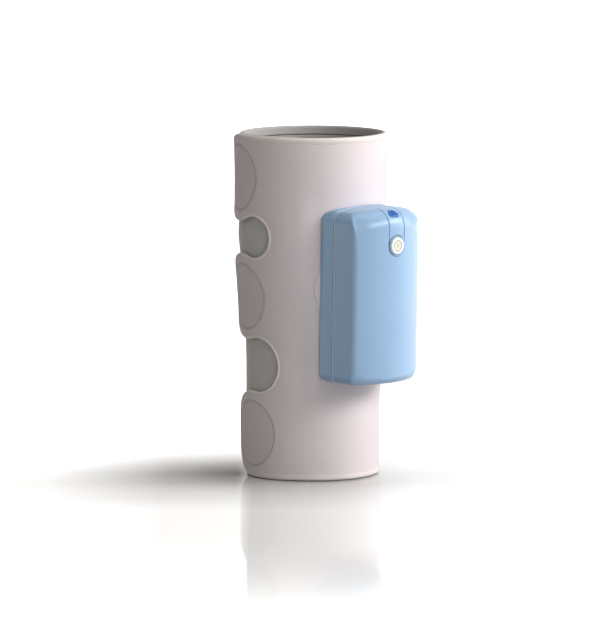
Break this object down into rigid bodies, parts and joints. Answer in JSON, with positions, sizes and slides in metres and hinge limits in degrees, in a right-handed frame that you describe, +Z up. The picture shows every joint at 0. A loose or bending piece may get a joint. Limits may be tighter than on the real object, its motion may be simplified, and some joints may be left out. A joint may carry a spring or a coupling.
{
  "type": "compression therapy pump",
  "caption": "Portable calf compression device: a wrap-round air cuff closed by round tabs, with a small docked air pump that has a push button and a status light.",
  "frame": {"origin": "centre of the bounding box, on the surface that the cuff stands on", "axes": "+Z up along the cuff, from its foot to its knee end; the pump faces -Y; the tabs close on the -X side"},
  "size_m": [0.1024, 0.1334, 0.236],
  "materials": {
    "cuff_cloth": "matte",
    "lining_cloth": "matte",
    "bladder_film": "satin",
    "hook_felt": "matte",
    "housing_gloss": "gloss",
    "trim_plastic": "satin",
    "button_white": "gloss",
    "lens_blue": "polished",
    "soft_rubber": "matte",
    "board_green": "satin",
    "black_plastic": "matte",
    "white_plastic": "satin",
    "cell_sleeve": "satin",
    "motor_metal": "satin",
    "screw_steel": "satin"
  },
  "bodies": {
    "cuff": {"cuff_outer_wrap": "cuff_cloth", "cuff_inner_lining": "lining_cloth", "air_bladder": "bladder_film", "mount_patch": "hook_felt", "dock_plate": "trim_plastic", "air_port": "white_plastic"},
    "pump": {"front_cover": "housing_gloss", "rear_case": "housing_gloss", "seam_gasket": "trim_plastic", "control_tongue": "housing_gloss", "button_bezel": "button_white", "indicator_lens": "lens_blue", "tact_switch": "black_plastic", "status_led": "white_plastic", "circuit_board": "board_green", "board_screw_1": "screw_steel", "board_screw_2": "screw_steel", "board_screw_3": "screw_steel", "board_screw_4": "screw_steel", "pressure_sensor": "black_plastic", "case_screw_1": "screw_steel", "case_screw_2": "screw_steel", "case_screw_3": "screw_steel", "case_screw_4": "screw_steel", "battery_cell_left": "cell_sleeve", "battery_tray_left": "white_plastic", "battery_cell_right": "cell_sleeve", "battery_tray_right": "white_plastic", "pump_motor": "motor_metal", "pump_head": "white_plastic", "air_hose": "soft_rubber", "air_manifold": "white_plastic", "port_seal": "soft_rubber", "valve_body": "black_plastic", "charging_socket": "screw_steel", "charging_board": "board_green"},
    "button": {"power_button": "button_white"},
    "shaft": {"motor_shaft": "screw_steel"},
    "plunger": {"valve_plunger": "screw_steel"},
    "tab_upper": {"closure_tab_upper": "cuff_cloth", "hook_patch_upper": "hook_felt"},
    "tab_middle": {"closure_tab_middle": "cuff_cloth", "hook_patch_middle": "hook_felt"},
    "tab_lower": {"closure_tab_lower": "cuff_cloth", "hook_patch_lower": "hook_felt"}
  },
  "joints": [
    {"name": "pump_detach", "type": "slide", "parent": "cuff", "child": "pump", "axis": [0, -0.9998, -0.0195], "range_m": [0, 0.045]},
    {"name": "power_button_press", "type": "slide", "parent": "pump", "child": "button", "axis": [0, 0.9998, 0.0195], "range_m": [0, 0.0008], "stiffness_N_per_m": 1200},
    {"name": "motor_spin", "type": "hinge", "parent": "pump", "child": "shaft", "pos_m": [0.00086, -0.0486, 0.10887], "axis": [0, -0.0195, 0.9998], "continuous": true},
    {"name": "valve_plunger_stroke", "type": "slide", "parent": "pump", "child": "plunger", "axis": [0, 0.0195, -0.9998], "range_m": [0, 0.0015], "stiffness_N_per_m": 300},
    {"name": "tab_upper_peel", "type": "hinge", "parent": "cuff", "child": "tab_upper", "pos_m": [-0.04977, 0.00921, 0.206], "axis": [-0.0193, -0.0027, 0.9998], "range_deg": [0, 60]},
    {"name": "tab_middle_peel", "type": "hinge", "parent": "cuff", "child": "tab_middle", "pos_m": [-0.0482, 0.00943, 0.1245], "axis": [-0.0193, -0.0027, 0.9998], "range_deg": [0, 60]},
    {"name": "tab_lower_peel", "type": "hinge", "parent": "cuff", "child": "tab_lower", "pos_m": [-0.04637, 0.00969, 0.03], "axis": [-0.0193, -0.0027, 0.9998], "range_deg": [0, 60]}
  ]
}
